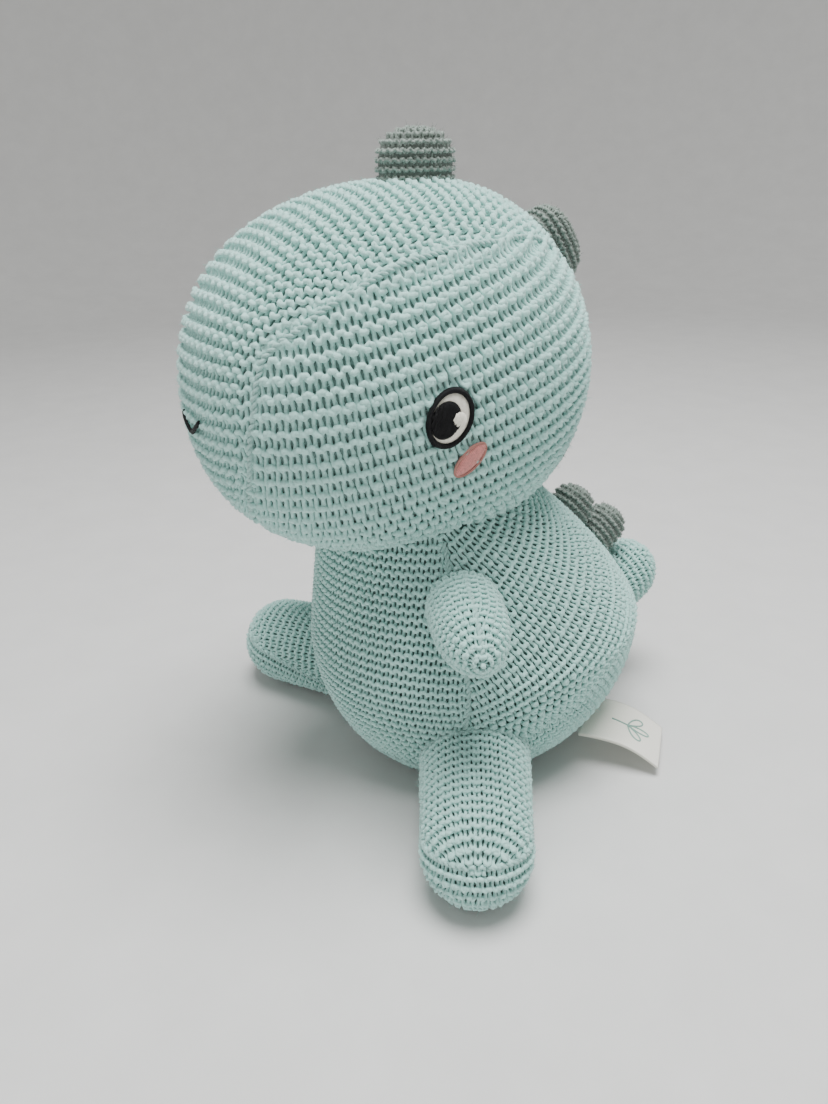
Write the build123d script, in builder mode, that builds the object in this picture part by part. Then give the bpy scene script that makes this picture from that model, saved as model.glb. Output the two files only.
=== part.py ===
"""Sitting stuffed dinosaur in knitted fabric: every sewn panel, stuffing wad and stitched patch.

Millimetres. +Z is up, the nose points to -Y, the toy's left side is +X, the floor is Z = 0.
The origin is on the floor, under the middle of the whole toy.
"""

import os
from math import cos, radians, sin, sqrt

from build123d import *
from build123d.topology import SkipClean

os.makedirs("parts", exist_ok=True)

# ---- Fabric and clearances ----
fabric = 2.4  # body knit
fin_fabric = 1.6  # finer knit of the spikes
stitch_raise = 1.2  # how far embroidery stands off the knit
far = 400.0  # half-space cutters are this large

# ---- Torso: rows that widen quickly from a flat seat, then taper and lean to the neck ----
torso_y = -2.6
torso_radius = 64.0
torso_widest_z = 60.5
torso_drop = 70.7  # vertical half-axis of the round underside
torso_top_z = 128.0
torso_neck_radius = 34.6
torso_lean = 22.2  # how far forward the neck rows sit
torso_depth_ratio = 1.13  # rows are longer front to back than across
torso_row_heights = (6, 14, 26, 42, 60, 78, 94, 110, 122)
side_seam_y = torso_y - 30  # the front panel is ahead of this plane
base_seam_z = 15.0  # the seat panel is below this plane

# ---- Head: an egg lying along Y, blunt at the snout ----
head_centre = Vector(0, torso_y - 17.7, 169.8)
head_half_width = 57.0
head_half_height = 65.4
snout_length = 86.3
snout_power = 2.36
crown_length = 65.8
crown_power = 2.07

# ---- Neck: a firm ball that the head rocks on ----
neck_pivot = Vector(0, torso_y - 15, 115)
neck_radius = 28.0
neck_gap = 0.6
head_clearance = 7.0  # the torso's rim stays this far below the head

# ---- Limbs: root radius, end radius, length from the root's centre, length of the round end ----
arm_size = (13.8, 13.4, 37.0, 30.0)
arm_root = Vector(49.6, torso_y - 29.0, 93.5)
arm_heading = -24.0
arm_pocket = 17.0
leg_size = (21.9, 20.0, 70.7, 20.0)
leg_root = Vector(42.5, torso_y - 19.5, leg_size[0])
leg_heading = -33.0
leg_pitch = -2.1  # keeps the tapering leg's underside on the floor
leg_pocket = 26.2
sole_seam_z = 11.0  # height of the sole seam at the hip
sole_seam_pitch = 14.0  # it climbs over the toe
tail_size = (17.5, 15.3, 32.5, 17.0)
tail_root = Vector(0, torso_y + 79.0, 49.5)
tail_pitch = 22.0
tail_pocket = 20.5

# ---- Spikes: length along the midline, thickness across it, height off the surface ----
fin_thickness = 15.0
fin_sink = 7.0  # hidden depth, before the surface is cut away
fin_rounding = 5.5
fin_taper = 0.78  # length of a spike's top against its foot
fin_corner = 7.0  # rounding of its side view

# ---- Embroidery, measured from the head's centre: (toward the back, up) ----
eye_place = (-20.7, -1.8)
eye_tilt = -19.0
cheek_place = (-12.0, -17.8)
cheek_tilt = 43.0
mouth_z = -9.0
mouth_half_width = 8.0

# ---- Label: a folded ribbon in the seat seam, behind the left hip ----
label_heading = 42.0
label_out = 53.2  # from the middle of the seat to the ribbon's sewn edge
label_width = 30.0
label_length = 34.0
label_sag = 9.5
label_thickness = 1.0


def torso_half_width(z):
    """Half the torso's width at height z."""
    if z < torso_widest_z:
        return torso_radius * sqrt(1 - ((torso_widest_z - z) / torso_drop) ** 2)
    rise = (z - torso_widest_z) / (torso_top_z - torso_widest_z)
    return torso_neck_radius + (torso_radius - torso_neck_radius) * (1 - rise**1.3)


def torso_centre_y(z):
    """Middle of the torso's row at height z."""
    rise = max(0.0, (z - torso_widest_z) / (torso_top_z - torso_widest_z))
    return torso_y + 0.14 * torso_half_width(z) - torso_lean * rise**1.4


def torso_half(inset):
    """The left half of the torso's shape, made smaller by the inset all round."""
    with BuildPart() as solid:
        for z in (inset, *torso_row_heights):
            across = torso_half_width(z) - inset
            along = torso_depth_ratio * torso_half_width(z) - inset
            with BuildSketch(Plane((0, torso_centre_y(z), z))):
                with BuildLine():
                    EllipticalCenterArc((0, 0), across, along, start_angle=-90, arc_size=180)
                    Line((0, along), (0, -along))
                make_face()
        loft()
    return solid.part


def head_profile(turn, grow=0.0):
    """Point of the head's side profile: turn is -90 at the nose, 0 on top and 90 at the back."""
    length, power = (snout_length, snout_power) if turn < 0 else (crown_length, crown_power)
    across, along = cos(radians(turn)), sin(radians(turn))
    y = (length + grow) * (1 if along > 0 else -1) * abs(along) ** (2 / power)
    z = (head_half_height + grow) * (1 if across > 0 else -1) * abs(across) ** (2 / power)
    return y, z


def head_half(grow):
    """The left half of the head, made larger by grow all round: a turned egg, narrowed across."""
    with BuildPart() as solid:
        with BuildSketch(Plane(head_centre, x_dir=(0, 1, 0), z_dir=(1, 0, 0))):
            with BuildLine():
                outline = [head_profile(turn, grow) for turn in range(-90, 91, 15)]
                Spline(*outline, tangents=[(0, 1), (0, -1)])
                Line(outline[-1], outline[0])
            make_face()
        revolve(axis=Axis(head_centre, (0, 1, 0)), revolution_arc=180)
        scale(by=((head_half_width + grow) / (head_half_height + grow), 1, 1), about=head_centre)
    return solid.part


def ball(centre, radius):
    """A ball, for the pockets that limbs and the head turn in."""
    with BuildPart(Plane(centre)) as solid:
        Sphere(radius)
    return solid.part


def heading_vector(heading, pitch=0.0):
    """Unit vector at a compass heading (degrees from +X towards +Y) and a pitch above level."""
    flat = cos(radians(pitch))
    return Vector(flat * cos(radians(heading)), flat * sin(radians(heading)), sin(radians(pitch)))


def limb_solid(root, direction, size, inset):
    """A limb turned about its own axis: a ball at the root, a taper and a round end."""
    root_radius, end_radius, length, round_end = size
    across = direction.cross(Vector(0, 0, 1))
    with BuildPart() as solid:
        with BuildSketch(Plane(root, x_dir=direction, z_dir=across)):
            with BuildLine():
                straight = length - round_end
                CenterArc((0, 0), root_radius - inset, 90, 90)
                Line((0, root_radius - inset), (straight, end_radius - inset))
                EllipticalCenterArc((straight, 0), round_end - inset, end_radius - inset)
                Line((length - inset, 0), (inset - root_radius, 0))
            make_face()
        revolve(axis=Axis(root, direction))
    return solid.part


def write_part(solid, name):
    """Label a finished piece and write its STEP file."""
    solid.label = name
    export_step(solid, f"parts/{name}.step")


def write_pair(left_solid, name):
    """Write a left-hand piece and its mirror image."""
    write_part(left_solid, f"{name}_left")
    with BuildPart() as right:
        mirror(left_solid, about=Plane.YZ)
    write_part(right.part, f"{name}_right")


def write_whole(left_half, name):
    """Write a piece that spans the midline, from its left half; the two faces keep their seam."""
    with SkipClean():
        with BuildPart() as whole:
            add(left_half)
            mirror(about=Plane.YZ)
    write_part(whole.part, name)


# ---- Shapes that several pieces are cut from: all are left halves, X >= 0 ----
arm_direction = heading_vector(arm_heading)
leg_direction = heading_vector(leg_heading, leg_pitch)
tail_direction = heading_vector(90, tail_pitch)

with BuildPart() as torso_pockets:
    add(head_half(head_clearance))
    add(ball(neck_pivot, neck_radius))
    add(ball(tail_root, tail_pocket))
    add(ball(leg_root, leg_pocket))
    add(ball(arm_root, arm_pocket))

with BuildPart() as torso_shell:
    add(torso_half(0))
    add(torso_half(fabric), mode=Mode.SUBTRACT)
    add(torso_pockets.part, mode=Mode.SUBTRACT)

with BuildPart() as head_shell:
    add(head_half(0))
    add(head_half(-fabric), mode=Mode.SUBTRACT)
    add(ball(neck_pivot, neck_radius + neck_gap), mode=Mode.SUBTRACT)

# ---- Torso ----
with BuildPart() as torso_stuffing:
    add(torso_half(fabric))
    add(torso_pockets.part, mode=Mode.SUBTRACT)
write_whole(torso_stuffing.part, "torso_stuffing")

with BuildPart() as torso_base_panel:
    add(torso_shell.part)
    split(bisect_by=Plane.XY.offset(base_seam_z), keep=Keep.BOTTOM)
write_whole(torso_base_panel.part, "torso_base_panel")

with BuildPart() as torso_upper:
    add(torso_shell.part)
    split(bisect_by=Plane.XY.offset(base_seam_z), keep=Keep.TOP)

with BuildPart() as torso_front_panel:
    add(torso_upper.part)
    split(bisect_by=Plane((0, side_seam_y, 0), z_dir=(0, -1, 0)), keep=Keep.TOP)
write_whole(torso_front_panel.part, "torso_front_panel")

with BuildPart() as torso_back_panel:
    add(torso_upper.part)
    split(bisect_by=Plane((0, side_seam_y, 0), z_dir=(0, 1, 0)), keep=Keep.TOP)
write_pair(torso_back_panel.part, "torso_back_panel")

with BuildPart() as neck_stuffing:
    add(ball(neck_pivot, neck_radius))
write_part(neck_stuffing.part, "neck_stuffing")

# ---- Head: the gusset is what three cutters take from the shell, over, under and behind ----
gusset_top = [(18, 88), (30, 84), (32, 72), (37.2, 61), (40, 45), (39.8, 18), (38.2, -10)]
gusset_crown = [(32.4, -27), (25, -44), (18, -58), (14, -75)]
gusset_chin = [(30.6, 0), (28, -10), (23.5, -22), (16.5, -32), (8, -40), (0, -45)]
gusset_nape = [(14, 0), (12, -30), (9, -80)]

with BuildPart() as gusset_cutter:
    with BuildSketch(Plane(head_centre, x_dir=(1, 0, 0), z_dir=(0, 0, 1))):
        with BuildLine():
            over = [(x, -y) for x, y in gusset_top + gusset_crown]
            Spline(*over)
            Line(over[-1], (0, over[-1][1]))
            Line((0, over[-1][1]), (0, over[0][1]))
            Line((0, over[0][1]), over[0])
        make_face()
    extrude(amount=head_half_height + 20)
    with BuildSketch(Plane(head_centre, x_dir=(1, 0, 0), z_dir=(0, -1, 0))):
        with BuildLine():
            Spline(*gusset_chin)
            Line(gusset_chin[-1], (0, 0))
            Line((0, 0), gusset_chin[0])
        make_face()
    extrude(amount=snout_length + 20)
    with BuildSketch(Plane(head_centre, x_dir=(1, 0, 0), z_dir=(0, -1, 0))):
        with BuildLine():
            Spline(*gusset_nape)
            Line(gusset_nape[-1], (0, gusset_nape[-1][1]))
            Line((0, gusset_nape[-1][1]), (0, 0))
            Line((0, 0), gusset_nape[0])
        make_face()
    extrude(amount=-crown_length - 20)

with BuildPart() as head_gusset:
    add(head_shell.part)
    add(gusset_cutter.part, mode=Mode.INTERSECT)
write_whole(head_gusset.part, "head_gusset")

with BuildPart() as head_side_panel:
    add(head_shell.part)
    add(gusset_cutter.part, mode=Mode.SUBTRACT)
write_pair(head_side_panel.part, "head_side_panel")

with BuildPart() as head_stuffing:
    add(head_half(-fabric))
    add(ball(neck_pivot, neck_radius + neck_gap), mode=Mode.SUBTRACT)
write_whole(head_stuffing.part, "head_stuffing")


# ---- Spikes ----
def fin_solid(base, normal, length, height, inset):
    """A plump pad that stands on the midline, narrower at its top and sunk below the surface."""
    rounding = fin_rounding - inset
    foot, top = length / 2 - inset, length / 2 * fin_taper - inset
    side_plane = Plane(base, x_dir=normal.cross(Vector(1, 0, 0)), z_dir=(1, 0, 0))
    with BuildPart() as solid:
        with BuildSketch(side_plane) as side:
            with BuildLine():
                Polyline(
                    (-foot, inset - fin_sink),
                    (foot, inset - fin_sink),
                    (top, height - inset),
                    (-top, height - inset),
                    close=True,
                )
            make_face()
            fillet(side.vertices(), fin_corner - inset)
        extrude(amount=fin_thickness / 2 - inset, both=True)
        fillet(solid.faces().filter_by(Axis.X).edges(), rounding)
    return solid.part


def write_fin(name, station, size, surface_half):
    """A spike's cover and its stuffing, both trimmed to the surface that they are sewn to."""
    with BuildPart() as stuffing:
        add(fin_solid(*station, *size, fin_fabric))
        split(bisect_by=Plane.YZ, keep=Keep.TOP)
        add(surface_half, mode=Mode.SUBTRACT)
    write_whole(stuffing.part, f"{name}_stuffing")
    with BuildPart() as cover:
        add(fin_solid(*station, *size, 0))
        add(fin_solid(*station, *size, fin_fabric), mode=Mode.SUBTRACT)
        split(bisect_by=Plane.YZ, keep=Keep.TOP)
        add(surface_half, mode=Mode.SUBTRACT)
    write_whole(cover.part, f"{name}_cover")


def head_station(turn):
    """Point and outward normal on the head's midline."""
    y, z = head_profile(turn)
    ahead, behind = head_profile(turn - 1), head_profile(turn + 1)
    tangent = Vector(0, behind[0] - ahead[0], behind[1] - ahead[1]).normalized()
    return head_centre + Vector(0, y, z), Vector(0, -tangent.Z, tangent.Y)


def back_station(z):
    """Point and outward normal on the torso's back midline."""

    def back_y(row_z):
        return torso_centre_y(row_z) + torso_depth_ratio * torso_half_width(row_z)

    slope = back_y(z + 1) - back_y(z - 1)
    return Vector(0, back_y(z), z), Vector(0, 2, -slope).normalized()


write_fin("head_top_spike", head_station(1), (28, 15), head_half(0))
write_fin("head_crown_spike", head_station(57), (30, 15), head_half(0))
write_fin("head_nape_spike", head_station(123), (28, 16), head_half(0))
write_fin("back_upper_spike", back_station(94.5), (19, 13), torso_half(0))
write_fin("back_lower_spike", back_station(77.5), (19, 19), torso_half(0))

# ---- Embroidery: thin patches between the head and a slightly larger head ----
side_view = Plane(head_centre, x_dir=(0, 1, 0), z_dir=(1, 0, 0))


def eye_ring_outline():
    with Locations(eye_place):
        Ellipse(8.3, 9.9, rotation=eye_tilt)
        Ellipse(6.4, 8.1, rotation=eye_tilt, mode=Mode.SUBTRACT)


def pupil_shape(mode):
    with Locations((eye_place[0] - 2.0, eye_place[1])):
        Ellipse(5.2, 6.1, rotation=eye_tilt, mode=mode)


def glint_shape(mode):
    with Locations((eye_place[0] + 2.7, eye_place[1] + 0.3)):
        Circle(2.2, mode=mode)


def eye_white_outline():
    with Locations(eye_place):
        Ellipse(6.4, 8.1, rotation=eye_tilt)
    pupil_shape(Mode.SUBTRACT)
    glint_shape(Mode.SUBTRACT)


def eye_pupil_outline():
    with Locations(eye_place):
        Ellipse(6.4, 8.1, rotation=eye_tilt)
    pupil_shape(Mode.INTERSECT)
    glint_shape(Mode.SUBTRACT)


def eye_glint_outline():
    glint_shape(Mode.ADD)


def cheek_outline():
    with Locations(cheek_place):
        Ellipse(7.4, 4.1, rotation=cheek_tilt)


def write_patch_pair(name, draw_outline):
    """Cut a patch that lies on the left of the head, and mirror it."""
    with BuildPart() as patch:
        with BuildSketch(side_view):
            draw_outline()
        extrude(amount=head_half_width + 10)
        add(head_half(stitch_raise), mode=Mode.INTERSECT)
        add(head_half(0), mode=Mode.SUBTRACT)
    write_pair(patch.part, name)


write_patch_pair("eye_ring", eye_ring_outline)
write_patch_pair("eye_white", eye_white_outline)
write_patch_pair("eye_pupil", eye_pupil_outline)
write_patch_pair("eye_glint", eye_glint_outline)
write_patch_pair("cheek_patch", cheek_outline)

with BuildPart() as mouth_stitch:
    with BuildSketch(Plane(head_centre, x_dir=(1, 0, 0), z_dir=(0, -1, 0))):
        with BuildLine():
            ThreePointArc(
                (-mouth_half_width, mouth_z + 4.5), (0, mouth_z), (mouth_half_width, mouth_z + 4.5)
            )
        trace(line_width=1.5)
    extrude(amount=snout_length + 10)
    add(head_half(stitch_raise), mode=Mode.INTERSECT)
    add(head_half(0), mode=Mode.SUBTRACT)
write_whole(mouth_stitch.part, "mouth_stitch")


# ---- Limbs ----
def limb_stuffing(root, direction, size):
    return limb_solid(root, direction, size, fabric)


def limb_cover(root, direction, size):
    """The knitted cover of a limb, open where it is sewn on."""
    with BuildPart() as cover:
        add(limb_solid(root, direction, size, 0))
        add(limb_solid(root, direction, size, fabric), mode=Mode.SUBTRACT)
        split(bisect_by=Plane(root, z_dir=direction), keep=Keep.TOP)
    return cover.part


def cover_half(cover, seam_plane):
    """The part of a cover on the side that the seam plane faces."""
    with BuildPart() as half:
        add(cover)
        split(bisect_by=seam_plane, keep=Keep.TOP)
    return half.part


arm_cover = limb_cover(arm_root, arm_direction, arm_size)
arm_side = arm_direction.cross(Vector(0, 0, 1))
write_pair(limb_stuffing(arm_root, arm_direction, arm_size), "arm_stuffing")
write_pair(cover_half(arm_cover, Plane(arm_root, z_dir=arm_side)), "arm_front_panel")
write_pair(cover_half(arm_cover, Plane(arm_root, z_dir=-arm_side)), "arm_back_panel")

leg_cover = limb_cover(leg_root, leg_direction, leg_size)
sole_seam_point = Vector(leg_root.X, leg_root.Y, sole_seam_z)
sole_seam_normal = heading_vector(leg_heading, sole_seam_pitch + 90)
write_pair(limb_stuffing(leg_root, leg_direction, leg_size), "leg_stuffing")
write_pair(cover_half(leg_cover, Plane(sole_seam_point, z_dir=sole_seam_normal)), "leg_top_panel")
write_pair(cover_half(leg_cover, Plane(sole_seam_point, z_dir=-sole_seam_normal)), "leg_sole_panel")

tail_cover = limb_cover(tail_root, tail_direction, tail_size)
write_part(limb_stuffing(tail_root, tail_direction, tail_size), "tail_stuffing")
write_pair(cover_half(tail_cover, Plane.YZ), "tail_panel")

# ---- Label ----
label_direction = heading_vector(label_heading)
label_root = Vector(0, torso_centre_y(base_seam_z), base_seam_z) + label_direction * label_out

with BuildPart() as label_ribbon:
    label_side = label_direction.cross(Vector(0, 0, 1))
    with BuildSketch(Plane(label_root, x_dir=label_direction, z_dir=label_side)):
        with BuildLine():
            TangentArc((0, 0), (label_length - 2, -label_sag), tangent=(1, 0))
        trace(line_width=label_thickness)
    extrude(amount=label_width / 2, both=True)
write_part(label_ribbon.part, "label_ribbon")
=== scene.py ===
"""The look of a sitting knitted dinosaur: yarn loops, seams, embroidery and a ribbon label.

The knit is real geometry. Each course of stitches is one yarn, swept along the loops that the
purl side of stocking stitch shows. Lengths are in millimetres until a mesh is made.
"""

import math

import bmesh
import bpy
import numpy as np
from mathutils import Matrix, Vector


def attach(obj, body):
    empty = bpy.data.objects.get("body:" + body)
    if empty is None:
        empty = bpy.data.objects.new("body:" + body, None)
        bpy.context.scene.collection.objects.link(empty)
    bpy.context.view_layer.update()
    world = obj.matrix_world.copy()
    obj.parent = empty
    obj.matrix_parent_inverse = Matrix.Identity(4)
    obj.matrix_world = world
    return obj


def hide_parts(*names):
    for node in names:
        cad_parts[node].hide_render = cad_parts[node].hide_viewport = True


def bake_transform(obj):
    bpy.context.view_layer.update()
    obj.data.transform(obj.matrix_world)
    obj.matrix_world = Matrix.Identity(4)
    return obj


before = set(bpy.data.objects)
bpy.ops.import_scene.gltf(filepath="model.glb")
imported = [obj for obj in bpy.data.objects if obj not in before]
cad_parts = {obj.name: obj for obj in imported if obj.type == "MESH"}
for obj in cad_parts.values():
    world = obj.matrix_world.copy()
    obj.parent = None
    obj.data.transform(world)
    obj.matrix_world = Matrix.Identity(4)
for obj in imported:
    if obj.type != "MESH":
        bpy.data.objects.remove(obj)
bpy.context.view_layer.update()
rng = np.random.default_rng(11)

METRES = 0.001
UP = np.array([0.0, 0.0, 1.0])
LEFT = np.array([1.0, 0.0, 0.0])
MIRROR = np.array([-1.0, 1.0, 1.0])

# ---- The shapes that the panels cover, as in the CAD model ----
TORSO_Y = -2.6
TORSO_RADIUS = 64.0
TORSO_WIDEST_Z = 60.5
TORSO_DROP = 70.7
TORSO_TOP_Z = 128.0
TORSO_NECK_RADIUS = 34.6
TORSO_LEAN = 22.2
TORSO_DEPTH_RATIO = 1.13
SIDE_SEAM_Y = TORSO_Y - 30
BASE_SEAM_Z = 15.0

HEAD = np.array([0.0, TORSO_Y - 17.7, 169.8])
HEAD_HALF_WIDTH = 57.0
HEAD_HALF_HEIGHT = 65.4
SNOUT_LENGTH = 86.3
SNOUT_POWER = 2.36
CROWN_LENGTH = 65.8
CROWN_POWER = 2.07

# Half-width of the head's centre panel: over the top by Y, at the chin and the nape by Z.
GUSSET_TOP_Y = (-88, -84, -72, -61, -45, -18, 10, 27, 44, 58, 75)
GUSSET_TOP_X = (18, 30, 32, 37.2, 40, 39.8, 38.2, 32.4, 25, 18, 14)
GUSSET_CHIN_Z = (-45, -40, -32, -22, -10, 0)
GUSSET_CHIN_X = (0, 8, 16.5, 23.5, 28, 30.6)
GUSSET_NAPE_Z = (-80, -30, 0)
GUSSET_NAPE_X = (9, 12, 14)


def heading(turn, pitch=0.0):
    """Unit vector at a compass heading and a pitch above level, in degrees."""
    turn, pitch = math.radians(turn), math.radians(pitch)
    flat = math.cos(pitch)
    return np.array([flat * math.cos(turn), flat * math.sin(turn), math.sin(pitch)])


def unit(vectors):
    """The same vectors at length 1."""
    return vectors / np.maximum(np.linalg.norm(vectors, axis=-1, keepdims=True), 1e-9)


def arc(turn, first, second):
    """Unit circle points at the turns, from the first direction toward the second."""
    return np.cos(turn)[:, None] * first + np.sin(turn)[:, None] * second


def run_along(points):
    """Length of a line of points up to each of them."""
    return np.concatenate([[0], np.cumsum(np.linalg.norm(np.diff(points, axis=0), axis=1))])


def resample(u, run, values):
    """What the values of a line's points are at lengths u along it."""
    return np.stack([np.interp(u, run, values[:, k]) for k in range(3)], -1)


def gap_fall(distance, reach):
    """1 at no distance, falling to almost 0 at twice the reach."""
    return np.exp(-((distance / reach) ** 2))


def torso_half_width(z):
    """Half the torso's width at height z."""
    z = np.clip(z, 0.0, TORSO_TOP_Z + 6)
    under = TORSO_RADIUS * np.sqrt(np.maximum(1 - ((TORSO_WIDEST_Z - z) / TORSO_DROP) ** 2, 0.01))
    rise = np.clip((z - TORSO_WIDEST_Z) / (TORSO_TOP_Z - TORSO_WIDEST_Z), 0, None)
    over = TORSO_NECK_RADIUS + (TORSO_RADIUS - TORSO_NECK_RADIUS) * (1 - rise**1.3)
    return np.where(z < TORSO_WIDEST_Z, under, over)


def torso_centre_y(z):
    """Middle of the torso's row at height z."""
    rise = np.clip((z - TORSO_WIDEST_Z) / (TORSO_TOP_Z - TORSO_WIDEST_Z), 0, None)
    return TORSO_Y + 0.14 * torso_half_width(z) - TORSO_LEAN * rise**1.4


def torso_value(p):
    """1 on the torso's surface, less inside it."""
    half = torso_half_width(p[..., 2])
    along = (p[..., 1] - torso_centre_y(p[..., 2])) / (TORSO_DEPTH_RATIO * half)
    return np.hypot(p[..., 0] / half, along)


def head_value(p):
    """1 on the head's surface, less inside it."""
    q = p - HEAD
    ahead = q[..., 1] < 0
    length = np.where(ahead, SNOUT_LENGTH, CROWN_LENGTH)
    power = np.where(ahead, SNOUT_POWER, CROWN_POWER)
    across = np.hypot(q[..., 0] / HEAD_HALF_WIDTH, q[..., 2] / HEAD_HALF_HEIGHT)
    return (np.abs(q[..., 1] / length) ** power + across**power) ** (1 / power)


def head_profile(turn):
    """Midline point (y, z) from the head's centre: turn is -90 at the nose, 0 on top, 90 behind."""
    length, power = (SNOUT_LENGTH, SNOUT_POWER) if turn < 0 else (CROWN_LENGTH, CROWN_POWER)
    across, along = math.cos(math.radians(turn)), math.sin(math.radians(turn))
    y = length * math.copysign(abs(along) ** (2 / power), along)
    z = HEAD_HALF_HEIGHT * math.copysign(abs(across) ** (2 / power), across)
    return np.array([y, z])


def outward(value, p, step=0.4):
    """Outward unit normals of the surface where value is 1."""
    slopes = [value(p + axis * step) - value(p - axis * step) for axis in np.eye(3)]
    return unit(np.stack(slopes, axis=-1))


class Limb:
    """A stuffed limb turned about its own axis: a ball at the root, a taper and a round end."""

    def __init__(self, root, direction, size):
        self.root = np.array(root, float)
        self.axis = direction
        self.size = size
        self.root_radius, self.end_radius, self.length, self.round_end = size
        self.side = unit(np.cross(direction, UP))
        self.top = np.cross(self.side, direction)

    def radius(self, s):
        """Radius at length s from the root."""
        straight = self.length - self.round_end
        ball = np.sqrt(np.maximum(self.root_radius**2 - np.minimum(s, 0) ** 2, 0.01))
        share = np.clip(s / straight, 0, 1)
        taper = self.root_radius + (self.end_radius - self.root_radius) * share
        cap = np.clip((s - straight) / self.round_end, 0, 1)
        tip = self.end_radius * np.sqrt(np.maximum(1 - cap**2, 0.0004))
        return np.where(s < 0, ball, np.where(s < straight, taper, tip))

    def at(self, s):
        """Point of the limb's middle line."""
        return self.root + self.axis * s

    def mirrored(self):
        """The same limb on the right."""
        return Limb(self.root * MIRROR, self.axis * MIRROR, self.size)

    def inside(self, p, margin):
        """Which points lie inside the limb by more than the margin."""
        q = p - self.root
        s = q @ self.axis
        away = np.linalg.norm(q - s[..., None] * self.axis, axis=-1)
        return (s < self.length) & (s > -self.root_radius) & (away < self.radius(s) - margin)


ARM = Limb((49.6, TORSO_Y - 29.0, 93.5), heading(-24), (13.8, 13.4, 37.0, 30.0))
LEG = Limb((42.5, TORSO_Y - 19.5, 21.9), heading(-33, -2.1), (21.9, 20.0, 70.7, 20.0))
TAIL = Limb((0, TORSO_Y + 79.0, 49.5), heading(90, 22), (17.5, 15.3, 32.5, 17.0))


# ---- Mesh building ----
FLOOR_SQUASH = 0.6  # height below which the knit is pressed flat on the floor
# The backing slot holds a darker copy of the yarn: painted shade for the gaps between the stitches.
YARN, PAINTED_SHADE_BACK, SEAM = 0, 1, 2  # material numbers of a knitted piece


class Pile:
    """Collects geometry for one piece, with a material number for each part of it."""

    def __init__(self):
        self.points, self.faces, self.slots = [], [], []
        self.count = 0

    def add(self, points, face_sets, slot=YARN):
        """Add points, and sets of faces that number them from 0: quads, triangles or both."""
        self.points.append(points.reshape(-1, 3))
        for faces in face_sets:
            self.faces.append(np.asarray(faces, np.int64) + self.count)
            self.slots.append(np.full(len(faces), slot))
        self.count += len(self.points[-1])

    def piece(self, name, materials, settle=True):
        """Make the Blender object, pressed flat where it would reach into the floor."""
        mesh = bpy.data.meshes.new(name)
        points = np.concatenate(self.points)
        if settle:
            low = np.minimum(points[:, 2], FLOOR_SQUASH)
            squashed = FLOOR_SQUASH * np.exp(low / FLOOR_SQUASH - 1)
            points[:, 2] = np.where(points[:, 2] < FLOOR_SQUASH, squashed, points[:, 2])
        points = points * METRES
        corners = np.concatenate([f.ravel() for f in self.faces])
        sizes = np.concatenate([np.full(len(f), f.shape[1]) for f in self.faces])
        mesh.vertices.add(len(points))
        mesh.vertices.foreach_set("co", points.ravel())
        mesh.loops.add(len(corners))
        mesh.loops.foreach_set("vertex_index", corners)
        mesh.polygons.add(len(sizes))
        mesh.polygons.foreach_set("loop_start", np.concatenate([[0], np.cumsum(sizes)[:-1]]))
        mesh.polygons.foreach_set("loop_total", sizes)
        mesh.polygons.foreach_set("material_index", np.concatenate(self.slots))
        mesh.polygons.foreach_set("use_smooth", np.ones(len(sizes), bool))
        mesh.update(calc_edges=True)
        mesh.validate()
        for material in materials:
            mesh.materials.append(material)
        piece = bpy.data.objects.new(name, mesh)
        bpy.context.collection.objects.link(piece)
        return piece


def sweep(pile, path, normals, radius, sides=6, slot=YARN):
    """A round yarn along a path, closed at both ends."""
    along = unit(np.gradient(path, axis=0))
    side = unit(np.cross(along, normals))
    over = np.cross(side, along)
    ring = arc(np.arange(sides) * 2 * math.pi / sides, side[:, None], over[:, None])
    radius = np.broadcast_to(radius, len(path))[:, None, None]
    points = path[:, None] + radius * ring
    first = np.arange(len(path) - 1)[:, None] * sides
    here, there = np.arange(sides), (np.arange(sides) + 1) % sides
    walls = np.stack([first + here, first + sides + here, first + sides + there, first + there], -1)
    last = (len(path) - 1) * sides
    fan = [(0, k, k + 1, k + 2) for k in range(1, sides - 2, 2)]
    caps = fan + [tuple(last + k for k in reversed(quad)) for quad in fan]
    pile.add(points, [walls.reshape(-1, 4), caps], slot)


def grid_faces(rows, columns):
    """The numbers of a grid's points, and the faces between them."""
    number = np.arange(rows * columns).reshape(rows, columns)
    faces = np.stack([number[:-1, :-1], number[:-1, 1:], number[1:, 1:], number[1:, :-1]], -1)
    return number, faces.reshape(-1, 4)


def slab(pile, grid, normals, top, bottom, slot=YARN):
    """A closed skin between two depths of a grid of surface points."""
    rows, columns = grid.shape[:2]
    number, upper = grid_faces(rows, columns)
    outer, inner = grid + normals * top, grid + normals * bottom
    edge = np.concatenate([number[0, :-1], number[:-1, -1], number[-1, :0:-1], number[:0:-1, 0]])
    after = np.roll(edge, -1)
    beneath = rows * columns
    rim = np.stack([after, edge, edge + beneath, after + beneath], -1)
    middle = (rows // 2, columns // 2)
    down = grid[min(middle[0] + 1, rows - 1), middle[1]] - grid[max(middle[0] - 1, 0), middle[1]]
    across = grid[middle[0], middle[1] + 1] - grid[middle[0], middle[1] - 1]
    faces = np.concatenate([upper, upper[:, ::-1] + beneath, rim])
    if np.dot(np.cross(across, down), normals[middle]) < 0:
        faces = faces[:, ::-1]
    pile.add(np.concatenate([outer.reshape(-1, 3), inner.reshape(-1, 3)]), [faces], slot)


def grid_normals(grid, axis_points):
    """Normals of a grid of points, turned away from an axis point, or from one for each row."""
    down = np.gradient(grid, axis=0)
    across = np.gradient(grid, axis=1)
    normals = unit(np.cross(across, down))
    away = grid - np.reshape(axis_points, (-1, 1, 3))
    flip = np.sign(np.sum(normals * away, axis=(1, 2)))
    flip = np.where(np.median(flip) < 0, -1.0, 1.0)
    return normals * flip


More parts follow.
